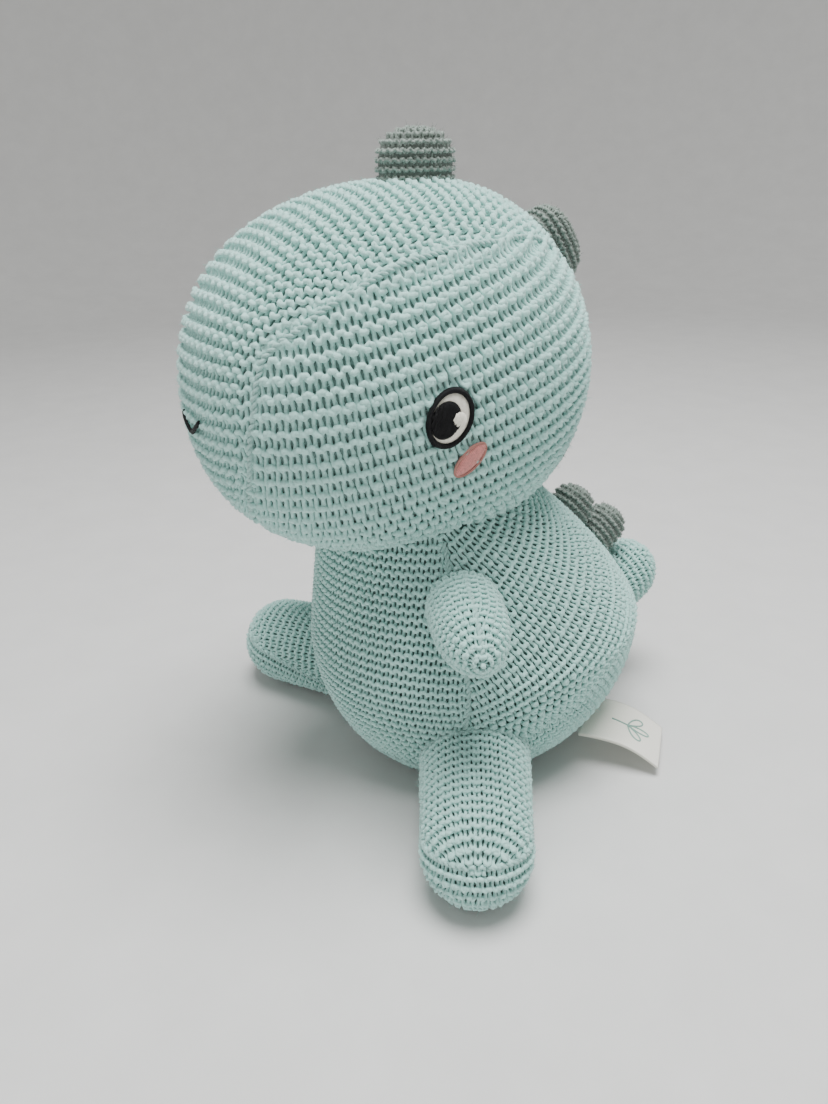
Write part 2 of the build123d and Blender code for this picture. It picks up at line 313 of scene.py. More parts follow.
def stations(curve, start, end, spacing):
    """Values between start and end whose curve points are about the spacing apart."""
    values = np.linspace(start, end, 1500)
    points = np.array([curve(v) for v in values])
    run = run_along(points)
    count = max(2, round(run[-1] / spacing))
    return np.interp((np.arange(count) + 0.5) * run[-1] / count, run, values)


# ---- Knitting ----
class Gauge:
    """How one knit is made: course height, stitch width and yarn radius."""

    def __init__(self, course, stitch, radius, samples=12):
        self.course, self.stitch, self.radius, self.samples = course, stitch, radius, samples
        self.reach = 0.62 * course  # a loop's height above and below its course
        self.swing = 0.15 * stitch  # how far its legs lean
        self.depth = 0.95 * radius  # how far it passes in front and behind
        self.lift = -0.1 - self.depth  # the course's own height, so that loops stand just proud


BODY = Gauge(3.7, 3.65, 0.84)
HEAD_SIDE = Gauge(5.5, 4.4, 1.12)
GUSSET = Gauge(5.1, 4.2, 1.05, samples=11)
LEG_KNIT = Gauge(3.9, 3.6, 0.86)
ARM_KNIT = Gauge(3.4, 3.2, 0.76)
TAIL_KNIT = Gauge(3.7, 3.5, 0.82)
SPIKE_KNIT = Gauge(2.9, 2.6, 0.66, samples=10)
FLUFF = 3.0  # loose fibres on each stitch
FIBRE = 0.055  # their radius
PLY_PITCH = 4.6  # length of one twist of the sewing yarn
SEAM_REACH = 2.4  # how far from a seam the loops are pressed flat
# The closed skin behind the loops is a dark sheet of painted shade, seen through the gaps in the
# knit.
BACKING = (-1.9, -2.35)  # depths of the closed skin behind the loops


def runs(mask):
    """First and last index of each unbroken run of True."""
    edges = np.flatnonzero(np.diff(np.concatenate([[0], mask.astype(int), [0]])))
    return list(zip(edges[::2], edges[1::2]))


def loops(points, normals, gauge, count, anchor, press):
    """The yarn of one course, the surface normals along it and its radius."""
    run = run_along(points)
    u = np.linspace(0, run[-1], max(int(run[-1] / gauge.stitch * gauge.samples), 3))
    centre = resample(u, run, points)
    normal = unit(resample(u, run, normals))
    along = unit(np.gradient(centre, axis=0))
    wale = np.cross(normal, along)
    if anchor is None:
        turn = 2 * math.pi * count * u / run[-1]
    else:
        start = run[np.argmin(np.abs((points - anchor[0]) @ anchor[1]))]
        turn = 2 * math.pi * (u - start) / gauge.stitch
    knots = np.linspace(0, run[-1], 2 * int(run[-1] / gauge.stitch) + 2)
    drift = [np.interp(u, knots, rng.normal(size=len(knots))) for _ in range(3)]
    relief = gauge.depth * (1 + np.cos(2 * turn)) + 0.08 * gauge.radius * drift[1]
    if press is not None:
        relief = relief * (1 - 0.85 * press(centre))
    height = gauge.lift - gauge.depth + relief
    lean = gauge.swing * np.sin(2 * turn) + 0.07 * gauge.radius * drift[2]
    reach = gauge.reach * (1 + 0.05 * drift[0]) * np.cos(turn)
    path = centre + along * lean[:, None] - wale * reach[:, None] + normal * height[:, None]
    return path, normal, gauge.radius * (0.85 + 0.16 * np.cos(2 * turn) + 0.04 * drift[2])


def knit(pile, rows, normals, gauge, hidden=None, anchor=None, press=None):
    """Cover a surface with courses of yarn, one for each row of surface points.

    With an anchor plane the wales line up where it cuts the rows, and the seams cut them off.
    Without one the rows are closed rings, which change their number of stitches now and then.
    """
    count = 0
    for points, row_normals in zip(rows, normals):
        length = run_along(points)[-1]
        if length < gauge.stitch:
            continue
        if abs(length / (max(count, 1) * gauge.stitch) - 1) > 0.14:
            count = max(round(length / gauge.stitch), 1)
        path, normal, yarn = loops(points, row_normals, gauge, count, anchor, press)
        shown = np.ones(len(path), bool) if hidden is None else ~hidden(path)
        for first, last in runs(shown):
            if last - first > gauge.samples // 2:
                sweep(pile, path[first:last], normal[first:last], yarn[first:last])
                fluff(pile, path[first:last], normal[first:last], gauge)


def fluff(pile, path, normals, gauge):
    """Short loose fibres that stand off a yarn, each a closed sliver."""
    count = int(len(path) * FLUFF / gauge.samples)
    if count < 1:
        return
    at = rng.integers(0, len(path), count)
    way = unit(normals[at] * 0.8 + rng.normal(size=(count, 3)) * 0.75)
    side = unit(np.cross(way, rng.normal(size=(count, 3))))
    over = np.cross(way, side)
    length = rng.uniform(0.8, 2.4, count)[:, None]
    foot = path[at] + way * gauge.radius * 0.8
    bend = foot + way * (gauge.radius * 0.2 + length * 0.55) + side * length * 0.12
    tip = bend + way * length * 0.4 + side * length * 0.3
    corners = [FIBRE * (math.cos(a) * side + math.sin(a) * over) for a in (0.0, 2.1, 4.2)]
    ring = [foot + corner for corner in corners]
    middle = [bend + 0.8 * corner for corner in corners]
    points = np.stack(ring + middle + [tip], 1)
    first = (np.arange(count) * 7)[:, None]
    walls = [first + np.array(wall) for wall in ((0, 1, 4, 3), (1, 2, 5, 4), (2, 0, 3, 5))]
    caps = [first + np.array(cap) for cap in ((2, 1, 0), (3, 4, 6), (4, 5, 6), (5, 3, 6))]
    pile.add(points, [np.concatenate(walls), np.concatenate(caps)])


def cord(pile, line, normals, radius, depth):
    """A two-ply sewing yarn along a seam, sunk by the depth."""
    run = run_along(line)
    u = np.arange(0, run[-1], 0.7)
    centre = resample(u, run, line)
    normal = unit(resample(u, run, normals))
    side = unit(np.cross(normal, np.gradient(centre, axis=0)))
    for phase in (0, math.pi):
        twist = arc(2 * math.pi * u / PLY_PITCH + phase, side, normal)
        path = centre - normal * depth + twist * radius * 0.85
        sweep(pile, path, normal, radius, 6, SEAM)


# ---- Materials ----
def noise_material(name, stops, scale, bump_scale, distance, strength, roughness):
    """A material whose colour wanders between stops (position, colour), with fine relief."""
    material = bpy.data.materials.new(name)
    material.use_nodes = True
    nodes, links = material.node_tree.nodes, material.node_tree.links
    shader = nodes["Principled BSDF"]
    shader.inputs["Roughness"].default_value = roughness
    place = nodes.new("ShaderNodeTexCoord")
    ramp = nodes.new("ShaderNodeValToRGB")
    bump = nodes.new("ShaderNodeBump")
    noises = ((scale, 4.0, 0.6, ramp.inputs["Fac"]), (bump_scale, 3.0, 0.5, bump.inputs["Height"]))
    for noise_scale, detail, noise_roughness, target in noises:
        noise = nodes.new("ShaderNodeTexNoise")
        noise.inputs["Scale"].default_value = noise_scale
        noise.inputs["Detail"].default_value = detail
        noise.inputs["Roughness"].default_value = noise_roughness
        links.new(place.outputs["Object"], noise.inputs["Vector"])
        links.new(noise.outputs["Fac"], target)
    elements = ramp.color_ramp.elements
    for element, (position, colour) in zip(elements, (stops[0], stops[-1])):
        element.position = position
        element.color = (*colour, 1)
    for position, colour in stops[1:-1]:
        elements.new(position).color = (*colour, 1)
    bump.inputs["Distance"].default_value = distance
    bump.inputs["Strength"].default_value = strength
    links.new(ramp.outputs["Color"], shader.inputs["Base Color"])
    links.new(bump.outputs["Normal"], shader.inputs["Normal"])
    return material, shader


def shade(colour, factor):
    """A lighter or darker colour."""
    return tuple(min(1.0, c * factor) for c in colour)


def fibre_material(name, colour, spread, scale=1100.0, roughness=0.95, sheen=0.35, relief=0.0003):
    """Spun or felted fibre, lighter and darker along its length."""
    stops = [(0.30, shade(colour, 1 - spread)), (0.5, colour), (0.72, shade(colour, 1 + spread))]
    material, shader = noise_material(name, stops, scale, scale * 2.2, relief, 0.6, roughness)
    shader.inputs["Sheen Weight"].default_value = sheen
    shader.inputs["Sheen Roughness"].default_value = 0.6
    shader.inputs["Specular IOR Level"].default_value = 0.2
    return material


MINT = (0.43, 0.71, 0.66)
HEATHER = (0.205, 0.255, 0.225)
mint_yarn = fibre_material("mint_yarn", MINT, 0.16)
# The backing skin is the mint yarn much darker: painted shade for the gaps between the stitches.
mint_backing = fibre_material("mint_backing", shade(MINT, 0.28), 0.2)
mint_seam = fibre_material("mint_seam", shade(MINT, 0.75), 0.15)
grey_yarn = fibre_material("heathered_yarn", HEATHER, 0.45, scale=700.0)
# The spikes' backing skin is the heathered yarn darker: painted shade for the gaps between their
# stitches.
grey_backing_painted_shade = fibre_material("heathered_backing", shade(HEATHER, 0.5), 0.3)
black_thread = fibre_material("black_thread", (0.004, 0.004, 0.005), 0.4, 1500.0, 0.6, 0.02)
cream_thread = fibre_material("cream_thread", (0.93, 0.90, 0.79), 0.10, 1500.0, 0.5, 0.2)
pink_thread = fibre_material("pink_thread", (0.70, 0.28, 0.26), 0.30, 1500.0, 0.6, 0.2)
dark_pink_thread = fibre_material("dark_pink_thread", (0.40, 0.17, 0.14), 0.14, 1500.0, 0.6, 0.2)
stuffing_fibre = fibre_material("stuffing_fibre", (0.80, 0.80, 0.77), 0.12, 300.0)
ribbon_satin = fibre_material("ribbon_satin", (0.93, 0.91, 0.82), 0.05, 2600.0, 0.4, 0.3, 0.0001)
motif_thread = fibre_material("motif_thread", (0.25, 0.42, 0.36), 0.15, 1500.0, 0.5, 0.2)

MINT_SET = (mint_yarn, mint_backing, mint_seam)
GREY_SET = (grey_yarn, grey_backing_painted_shade, grey_yarn)


def cover(pile, name, node, body, span=None, materials=MINT_SET):
    """A padded piece in place of a CAD node: it moves with a body, or, given a span, stays fixed in
    the world.
    """
    piece = pile.piece(name, materials)
    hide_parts(node)
    if span is None:
        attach(piece, body)
    else:
        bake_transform(piece)


# ---- Torso ----
NECK_SPAN = ((0, -60, 98.5), (0, -61.5, 109.5))
RIGHT_LEG, RIGHT_ARM = LEG.mirrored(), ARM.mirrored()
IN_THE_HEAD = 0.975  # the head's value below which the torso's knit stops
LIMB_SKIN = 2.6  # how deep in a limb it stops


def under_the_torso_cover(p):
    """Where the torso's knit is out of sight: in the head, in a limb."""
    covered = head_value(p) < IN_THE_HEAD
    for limb in (LEG, RIGHT_LEG, ARM, RIGHT_ARM, TAIL):
        covered |= limb.inside(p, LIMB_SKIN)
    return covered


def on_torso(turn, z):
    """Torso points at angles about its middle line, 0 on the left, and at heights."""
    half = torso_half_width(z)
    y = torso_centre_y(z) + TORSO_DEPTH_RATIO * half * np.sin(turn)
    return np.stack([half * np.cos(turn), y, z], -1)


def torso_grid(turns, heights, columns=61):
    """Rows of torso points between two angles that depend on the height."""
    grid = np.array([on_torso(np.linspace(*turns(z), columns), np.full(columns, z)) for z in heights])
    return grid, outward(torso_value, grid)


def side_seam_turn(z):
    """Angle of the left side seam at height z."""
    reach = TORSO_DEPTH_RATIO * torso_half_width(z)
    return math.asin(float((SIDE_SEAM_Y - torso_centre_y(z)) / reach))


def torso_meridian(z):
    """The torso's outline in the front view."""
    return float(torso_half_width(z)), z


BACK_SLANT = math.tan(math.radians(29))  # the back panels' courses climb from the side seams


def back_course(z, turns, columns=121):
    """A course of a back panel: it starts at height z on the side seam and climbs to the back."""
    start, end = turns(max(z, BASE_SEAM_Z))
    turn = np.linspace(start, end, columns)
    if abs(start - math.pi / 2) < 0.01:
        turn = turn[::-1]
    run = np.abs(turn - turn[0]) / abs(turn[-1] - turn[0])
    girth = 1.06 * float(torso_half_width(max(z, 40.0))) * abs(turn[-1] - turn[0])
    height = z + BACK_SLANT * girth * (run - 0.30 * run**3)
    return on_torso(turn, height)[(height > BASE_SEAM_Z) & (height < TORSO_TOP_Z)]


BACK_WALE = math.radians(35)  # heading of the back panels' middle wale


def torso_seam_press(p):
    """How flat the torso's loops are pressed: 1 on the side seams and on the back seam."""
    near_side = gap_fall(p[..., 1] - SIDE_SEAM_Y, SEAM_REACH)
    near_back = gap_fall(p[..., 0], SEAM_REACH) * (p[..., 1] > 0)
    return np.maximum(near_side, near_back)


torso_heights = stations(torso_meridian, BASE_SEAM_Z, 124.5, BODY.course)
torso_spans = {
    "torso_front_panel": lambda z: (math.pi - side_seam_turn(z), 2 * math.pi + side_seam_turn(z)),
    "torso_back_panel_left": lambda z: (side_seam_turn(z), math.pi / 2),
    "torso_back_panel_right": lambda z: (math.pi / 2, math.pi - side_seam_turn(z)),
}
# The edges of each panel that carry a sewing yarn, so that each seam has one.
TORSO_CORDS = {
    "torso_front_panel": (-1, 0),
    "torso_back_panel_left": (-1,),
    "torso_back_panel_right": (),
}
for name, turns in torso_spans.items():
    grid, normals = torso_grid(turns, torso_heights)
    rows, row_normals, anchor = grid, normals, (HEAD, LEFT)
    if "back" in name:
        step = BODY.course / math.cos(math.atan(BACK_SLANT))
        levels = np.arange(BASE_SEAM_Z - 60, TORSO_TOP_Z, step)
        rows = [row for row in (back_course(z, turns) for z in levels) if len(row) > 4]
        sign = 1 if "right" in name else -1
        way = np.array([math.sin(BACK_WALE), math.cos(BACK_WALE) * sign, 0])
        anchor = (np.array([0, TORSO_Y, 0]), way)
        row_normals = [outward(torso_value, row) for row in rows]
    pile = Pile()
    knit(pile, rows, row_normals, BODY, under_the_torso_cover, anchor, torso_seam_press)
    slab(pile, grid, normals, *BACKING, PAINTED_SHADE_BACK)
    for edge in TORSO_CORDS[name]:
        cord(pile, grid[:-2, edge], normals[:-2, edge], 0.6, 0.9)
    cover(pile, f"{name}_knit", name, "head", NECK_SPAN)

# The seat: rings up to the base seam, and flat rings inside them.
SEAT_Z = 1.2
seat_heights = stations(torso_meridian, SEAT_Z, BASE_SEAM_Z, BODY.course)[::-1]
seat, _ = torso_grid(lambda z: (0, 2 * math.pi), seat_heights, 181)
seat_rings = list(seat)
foot = seat[-1].mean(axis=0)
for share in np.linspace(0.90, 0.06, 9):
    ring = foot + (seat[-1] - foot) * share
    ring[:, 2] = SEAT_Z
    seat_rings.append(ring)
seat = np.array(seat_rings)
seat_normals = grid_normals(seat, foot + UP * 25)
pile = Pile()
knit(pile, seat, seat_normals, BODY, under_the_torso_cover)
slab(pile, seat, seat_normals, -1.6, -2.2, PAINTED_SHADE_BACK)
base_line, base_normals = torso_grid(lambda z: (0, 2 * math.pi), [BASE_SEAM_Z], 181)
cord(pile, base_line[0], base_normals[0], 0.75, 0.5)
cover(pile, "torso_base_knit", "torso_base_panel", "torso")


# ---- Head ----
# The embroidery's places and half sizes: toward the back and up, from the head's centre.
EYE = np.array([-21.1, -2.1])
EYE_TILT = math.radians(-19)
EYE_OUTER = np.array([7.95, 9.85])
EYE_INNER = np.array([6.7, 8.3])
PUPIL = EYE + np.array([-1.75, -0.15])
PUPIL_SIZE = np.array([4.95, 6.1])
GLINT = EYE + np.array([2.6, -0.25])
CHEEK = np.array([-12.8, -17.4])
CHEEK_TILT = math.radians(47)
CHEEK_SIZE = np.array([6.4, 3.4])


def past_gusset(q):
    """How far points, measured from the head's centre, are outside the centre panel."""
    over = np.interp(q[..., 1], GUSSET_TOP_Y, GUSSET_TOP_X)
    chin = np.interp(q[..., 2], GUSSET_CHIN_Z, GUSSET_CHIN_X)
    nape = np.interp(q[..., 2], GUSSET_NAPE_Z, GUSSET_NAPE_X)
    below = np.where(q[..., 1] < 0, chin, nape)
    return np.abs(q[..., 0]) - np.where(q[..., 2] >= 0, over, below)


SEAM_OVERLAP = 0.6  # how far each panel's courses run past their seam
PATCH_REACH = 1.3  # how far from the embroidery the loops are pressed flat
COURSE_SLANT_FRONT = 0.09  # how steeply the side courses climb toward the back
COURSE_SLANT_BACK = 0.30
SLANT_FROM_Y = -70.0
SLANT_TO_Y = -22.0


def course_climb(y):
    """How much higher a side course is at y than at the head's middle."""
    at = np.linspace(-SNOUT_LENGTH, CROWN_LENGTH, 400)
    share = np.clip((at - SLANT_FROM_Y) / (SLANT_TO_Y - SLANT_FROM_Y), 0, 1)
    slant = COURSE_SLANT_FRONT + (COURSE_SLANT_BACK - COURSE_SLANT_FRONT) * share
    climb = np.concatenate([[0], np.cumsum((slant[1:] + slant[:-1]) / 2 * np.diff(at))])
    return np.interp(y, at, climb) - np.interp(0, at, climb)


def head_side_row(z, columns=81, slanted=False):
    """A row of the left side panel, from its front seam to its back seam."""
    turn = np.linspace(-math.pi / 2, math.pi / 2, 2881)
    length = np.where(turn < 0, SNOUT_LENGTH, CROWN_LENGTH)
    power = np.where(turn < 0, SNOUT_POWER, CROWN_POWER)
    y = length * np.sign(turn) * np.abs(np.sin(turn)) ** (2 / power)
    across = np.maximum(1 - np.abs(y / length) ** power, 0) ** (1 / power)
    high = z + course_climb(y) if slanted else np.full_like(y, z)
    room = across**2 - (high / HEAD_HALF_HEIGHT) ** 2
    q = np.stack([HEAD_HALF_WIDTH * np.sqrt(np.maximum(room, 0)), y, high], -1)
    spans = runs((past_gusset(q) > -SEAM_OVERLAP) & (room > 0))
    if not spans:
        return None
    first, last = max(spans, key=lambda span: span[1] - span[0])
    if last - first < 12:
        return None
    q = q[first:last]
    run = run_along(q)
    return resample(np.linspace(0, run[-1], columns), run, q) + HEAD


def head_section(z):
    """The head's outline in the front view, from its centre."""
    return HEAD_HALF_WIDTH * math.sqrt(max(1 - (z / HEAD_HALF_HEIGHT) ** 2, 0)), z


head_levels = stations(head_section, -60.5, 47.8, HEAD_SIDE.course)
side_grid = np.array([head_side_row(z) for z in head_levels])
side_normals = outward(head_value, side_grid)
WALES_FROM = (HEAD - np.array([0, 24.0, 0]), np.array([0, 1.0, 0]))
side_levels = stations(head_section, -65, 63, HEAD_SIDE.course * 1.03)
side_rows = [row for row in (head_side_row(z, 161, True) for z in side_levels) if row is not None]
side_row_normals = [outward(head_value, row) for row in side_rows]


IN_THE_NECK = 0.86  # the torso's value below which the head's knit stops


def low_in_the_neck(p):
    """The head's underside, out of sight in the torso's top."""
    return (torso_value(p) < IN_THE_NECK) & (p[..., 2] < TORSO_TOP_Z)


def gusset_course(turn, columns=61):
    """A course of the centre panel: straight across, where a plane square to the head cuts it."""
    point = head_profile(turn)
    tangent = head_profile(turn + 0.5) - head_profile(turn - 0.5)
    tangent = tangent / np.linalg.norm(tangent)
    normal = np.array([0, -tangent[1], tangent[0]])
    x = np.arange(0, 46, 0.25)
    q = np.stack([x, np.full_like(x, point[0]), np.full_like(x, point[1])], -1)
    for _ in range(12):
        value = head_value(q + HEAD) - 1
        slope = (head_value(q + HEAD + normal * 0.2) - head_value(q + HEAD - normal * 0.2)) / 0.4
        q = q - normal * np.clip(value / np.maximum(slope, 1e-3), -4, 4)[:, None]
    inside = past_gusset(q) < SEAM_OVERLAP
    end = len(x) if inside.all() else max(int(np.argmin(inside)), 2)
    run = run_along(q[:end])
    half = resample(np.linspace(0, run[-1], columns // 2 + 1), run, q[:end])
    return np.concatenate([half[:0:-1] * MIRROR, half]) + HEAD


def gusset_seam_press(p):
    """How flat the loops are pressed beside the centre panel's seams."""
    return gap_fall(past_gusset(p - HEAD), SEAM_REACH)


def side_panel_press(p):
    """How flat the side panel's loops are pressed by its seams and by the embroidery."""
    side = (p - HEAD)[..., 1:]
    press = gusset_seam_press(p)
    for centre, size, tilt in ((EYE, EYE_OUTER, EYE_TILT), (CHEEK, CHEEK_SIZE, CHEEK_TILT)):
        q = side - centre
        along = (q[..., 0] * math.cos(tilt) + q[..., 1] * math.sin(tilt)) / size[0]
        across = (q[..., 1] * math.cos(tilt) - q[..., 0] * math.sin(tilt)) / size[1]
        beyond = np.maximum((np.hypot(along, across) - 1) * size.mean(), 0)
        press = np.maximum(press, gap_fall(beyond, PATCH_REACH))
    return press


gusset_turns = stations(head_profile, -131, 146, GUSSET.course)
gusset_grid = np.array([gusset_course(turn) for turn in gusset_turns])
gusset_normals = outward(head_value, gusset_grid)
pile = Pile()
knit(pile, gusset_grid, gusset_normals, GUSSET, low_in_the_neck, (HEAD, LEFT), gusset_seam_press)
slab(pile, gusset_grid, gusset_normals, *BACKING, PAINTED_SHADE_BACK)
for edge in (0, -1):
    cord(pile, gusset_grid[:, edge], gusset_normals[:, edge], 0.65, 1.1)
cover(pile, "head_gusset_knit", "head_gusset", "head")

SIDES = (("left", np.ones(3)), ("right", MIRROR))
for side, flip in SIDES:
    pile = Pile()
    rows = [row * flip for row in side_rows]
    row_normals = [normals * flip for normals in side_row_normals]
    knit(pile, rows, row_normals, HEAD_SIDE, low_in_the_neck, WALES_FROM,
         lambda p: side_panel_press(p * flip))
    slab(pile, side_grid * flip, side_normals * flip, *BACKING, PAINTED_SHADE_BACK)
    cover(pile, f"head_side_knit_{side}", f"head_side_panel_{side}", "head")


# ---- Limbs ----
def limb_grid(limb, centre_way, across_way, keep, from_s, gauge, columns=49):
    """Rings of a limb's panel, each an arc about the centre way for as long as keep allows."""

    def profile(t):
        """Length along the axis and radius, with the round end taken by angle."""
        straight = limb.length - limb.round_end
        if t <= straight:
            return t, float(limb.radius(np.float64(t)))
        angle = min((t - straight) / limb.round_end, 1.0) * math.pi / 2
        return straight + limb.round_end * math.sin(angle), limb.end_radius * math.cos(angle)

    rows, axis_points = [], []
    for t in stations(profile, from_s, limb.length, gauge.course):
        s, radius = profile(t)
        radius = max(radius, 0.8)
        turn = np.linspace(0, math.pi, 241)
        kept = keep(limb.at(s) + radius * arc(turn, centre_way, across_way))
        if not kept[0]:
            continue
        end = turn[-1] if kept.all() else turn[int(np.argmin(kept))]
        turn = np.linspace(-end, end, columns)
        rows.append(limb.at(s) + radius * arc(turn, centre_way, across_way))
        axis_points.append(limb.at(s - 4))
    grid = np.array(rows)
    return grid, grid_normals(grid, axis_points)


def sole_rows(limb, way, seam_point, seam_normal, gauge):
    """Courses of the sole: they run along one side, round the toe and back along the other."""
    across = unit(np.cross(way, limb.axis))
    s = limb.length - (limb.length + 3) * (1 - np.sin(np.linspace(0, math.pi / 2, 400)))
    radius = limb.radius(s)
    middle = (limb.root - seam_point) @ seam_normal + s * (limb.axis @ seam_normal)
    rows, normals = [], []
    for depth in np.arange(0.5, 40, 0.5) * gauge.course:
        cosine = (-depth - middle) / (radius * (way @ seam_normal))
        spans = runs(np.abs(cosine) < 1)
        if not spans:
            break
        first, last = spans[0]
        path = np.r_[first:last, last - 1:first - 1:-1]
        sine = np.sqrt(1 - cosine[path] ** 2) * np.repeat((1, -1), last - first)
        out = cosine[path, None] * way + sine[:, None] * across
        rows.append(limb.root + s[path, None] * limb.axis + radius[path, None] * out)
        tip = np.clip((s[path, None] - limb.length + limb.round_end) / limb.round_end, 0, 1)
        normals.append(unit(out * np.sqrt(1 - tip**2) + limb.axis * tip))
    return rows[::2], normals[::2]


def join_line(limb):
    """Where a limb meets the torso, and the directions that point out of the crease."""
    turn = np.linspace(0, 2 * math.pi, 121)
    s = np.linspace(-8, 45, 213)
    ring = arc(turn, limb.side, limb.top)
    points = limb.root + s[:, None, None] * limb.axis + limb.radius(s)[:, None, None] * ring
    line = points[np.argmax(torso_value(points) > 1.0, axis=0), np.arange(len(turn))]
    return line, unit(outward(torso_value, line) + ring)


def limb_panel(kind, side, body, limb, way, keep, gauge, span, from_s, seams=True,
               courses=None, press=None):
    """One knitted half of a limb's cover, on the side of the way."""
    across = unit(np.cross(way, limb.axis))
    grid, normals = limb_grid(limb, way, across, keep, from_s, gauge)
    pile = Pile()
    rows, row_normals = (grid, normals) if courses is None else courses
    knit(pile, rows, row_normals, gauge, lambda p: torso_value(p) < IN_THE_TORSO,
         (limb.root, across), press)
    slab(pile, grid, normals, *BACKING, PAINTED_SHADE_BACK)
    if seams:
        for edge in (0, -1):
            cord(pile, grid[:, edge], normals[:, edge], 0.6, 0.6)
        cord(pile, *join_line(limb), 0.5, 0.1)
    cover(pile, f"{kind}_knit_{side}", f"{kind}_panel_{side}", body, span)


IN_THE_TORSO = 0.90  # the torso's value below which a limb's knit stops
SOLE_SEAM_Z = 11.0
for side, leg, arm, flip in (("left", LEG, ARM, 1), ("right", RIGHT_LEG, RIGHT_ARM, -1)):
    seam_point = np.array([leg.root[0], leg.root[1], SOLE_SEAM_Z])
    seam_normal = heading(-33, 104) * np.array([flip, 1, 1])
    span = (leg.at(0), leg.at(24))

    def above_seam(p):
        return (p - seam_point) @ seam_normal

    def sole_press(p):
        return gap_fall(above_seam(p), SEAM_REACH)

    top_way = unit(seam_normal - leg.axis * (seam_normal @ leg.axis))
    limb_panel("leg_top", side, f"leg_{side}", leg, top_way,
               lambda p: above_seam(p) > 0, LEG_KNIT, span, -3, press=sole_press)
    limb_panel("leg_sole", side, f"leg_{side}", leg, -top_way,
               lambda p: above_seam(p) < 0, LEG_KNIT, span, -3, seams=False,
               courses=sole_rows(leg, top_way, seam_point, seam_normal, LEG_KNIT), press=sole_press)
    span = (arm.at(-3), arm.at(13))
    front_way = arm.side * flip
    for face, way in (("front", front_way), ("back", -front_way)):
        limb_panel(f"arm_{face}", side, f"arm_{side}", arm, way,
                   lambda p: (p - arm.root) @ way > 0, ARM_KNIT, span, -4, seams=face == "front")

for side, way in (("left", LEFT), ("right", -LEFT)):
    limb_panel("tail", side, "tail", TAIL, way, lambda p: (p - TAIL.root) @ way > 0,
               TAIL_KNIT, (TAIL.at(0), TAIL.at(14)), -3, seams=side == "left")


# ---- Spikes ----
SPIKE_HALF_THICKNESS = 7.6
SPIKE_ROUNDING = 6.2
SPIKE_TAPER = 0.78


def spike(name, body, station, length, height, surface):
    """A plump pad on the midline, knitted in rings of fine heathered yarn."""
    base, normal = station
    along = unit(np.cross(normal, LEFT))

    def profile(t):
        """Inset and height along the pad's side, over its round edge and onto its top."""
        wall = height - SPIKE_ROUNDING
        if t < wall:
            return 0.0, t
        angle = (t - wall) / SPIKE_ROUNDING
        if angle < math.pi / 2:
            return SPIKE_ROUNDING * (1 - math.cos(angle)), wall + SPIKE_ROUNDING * math.sin(angle)
        return SPIKE_ROUNDING + (angle - math.pi / 2) * SPIKE_ROUNDING, height

    top_run = (SPIKE_HALF_THICKNESS - SPIKE_ROUNDING) * 0.7
    end = height - SPIKE_ROUNDING + SPIKE_ROUNDING * math.pi / 2 + top_run
    rows = []
    turn = np.linspace(0, 2 * math.pi, 121)
    cosine, sine = np.cos(turn), np.sin(turn)
    for t in stations(profile, -6.0, end, SPIKE_KNIT.course):
        inset, rise = profile(t)
        share = min(max(rise / height, 0), 1)
        bulge = math.sin(math.pi * share)
        across = SPIKE_HALF_THICKNESS - inset + 0.6 * bulge
        reach = length / 2 * (1 - (1 - SPIKE_TAPER) * share**1.5) - inset + 0.9 * bulge
        x = across * np.sign(cosine) * np.abs(cosine) ** 0.8
        y = reach * np.sign(sine) * np.abs(sine) ** 0.8
        rows.append(base + x[:, None] * LEFT + y[:, None] * along + rise * normal)
    grid = np.array(rows)
    normals = grid_normals(grid, base + normal * (height * 0.4))
    pile = Pile()
    knit(pile, grid, normals, SPIKE_KNIT, lambda p: surface(p) < 0.965)
    slab(pile, grid, normals, -0.8, -1.5, PAINTED_SHADE_BACK)
    cover(pile, f"{name}_knit", f"{name}_cover", body, materials=GREY_SET)


def head_station(turn):
    """Point and outward normal on the head's midline."""
    y, z = head_profile(turn)
    tangent = unit(head_profile(turn + 1) - head_profile(turn - 1))
    return HEAD + np.array([0, y, z]), np.array([0, -tangent[1], tangent[0]])


def back_station(z):
    """Point and outward normal on the torso's back midline."""

    def back_y(row_z):
        return float(torso_centre_y(row_z) + TORSO_DEPTH_RATIO * torso_half_width(row_z))

    slope = back_y(z + 1) - back_y(z - 1)
    return np.array([0, back_y(z), z]), unit(np.array([0, 2, -slope]))


spike("head_top_spike", "head", head_station(1), 28, 15, head_value)
spike("head_crown_spike", "head", head_station(57), 30, 15, head_value)
spike("head_nape_spike", "head", head_station(123), 28, 16, head_value)
spike("back_upper_spike", "torso", back_station(94.5), 19, 13, torso_value)
spike("back_lower_spike", "torso", back_station(77.5), 19, 19, torso_value)

# ---- Embroidery ----
def ellipse(centre, size, tilt, turn):
    """Points on an ellipse in the side view: (toward the back, up) from the head's centre."""
    x, y = size[0] * np.cos(turn), size[1] * np.sin(turn)
    return np.stack([centre[0] + x * math.cos(tilt) - y * math.sin(tilt),
                     centre[1] + x * math.sin(tilt) + y * math.cos(tilt)], -1)


def on_cheek(spot, offset, flip):
    """Side-view points placed on the head, that far off its surface."""
    y, z = spot[..., 0], spot[..., 1]
    power = SNOUT_POWER
    across = (1 - np.abs(y / SNOUT_LENGTH) ** power) ** (1 / power)
    x = HEAD_HALF_WIDTH * np.sqrt(across**2 - (z / HEAD_HALF_HEIGHT) ** 2)
    p = HEAD + np.stack([x, y, z], -1)
    normals = outward(head_value, p)
    p = p + normals * np.asarray(offset)[..., None]
    return p * flip, normals * flip


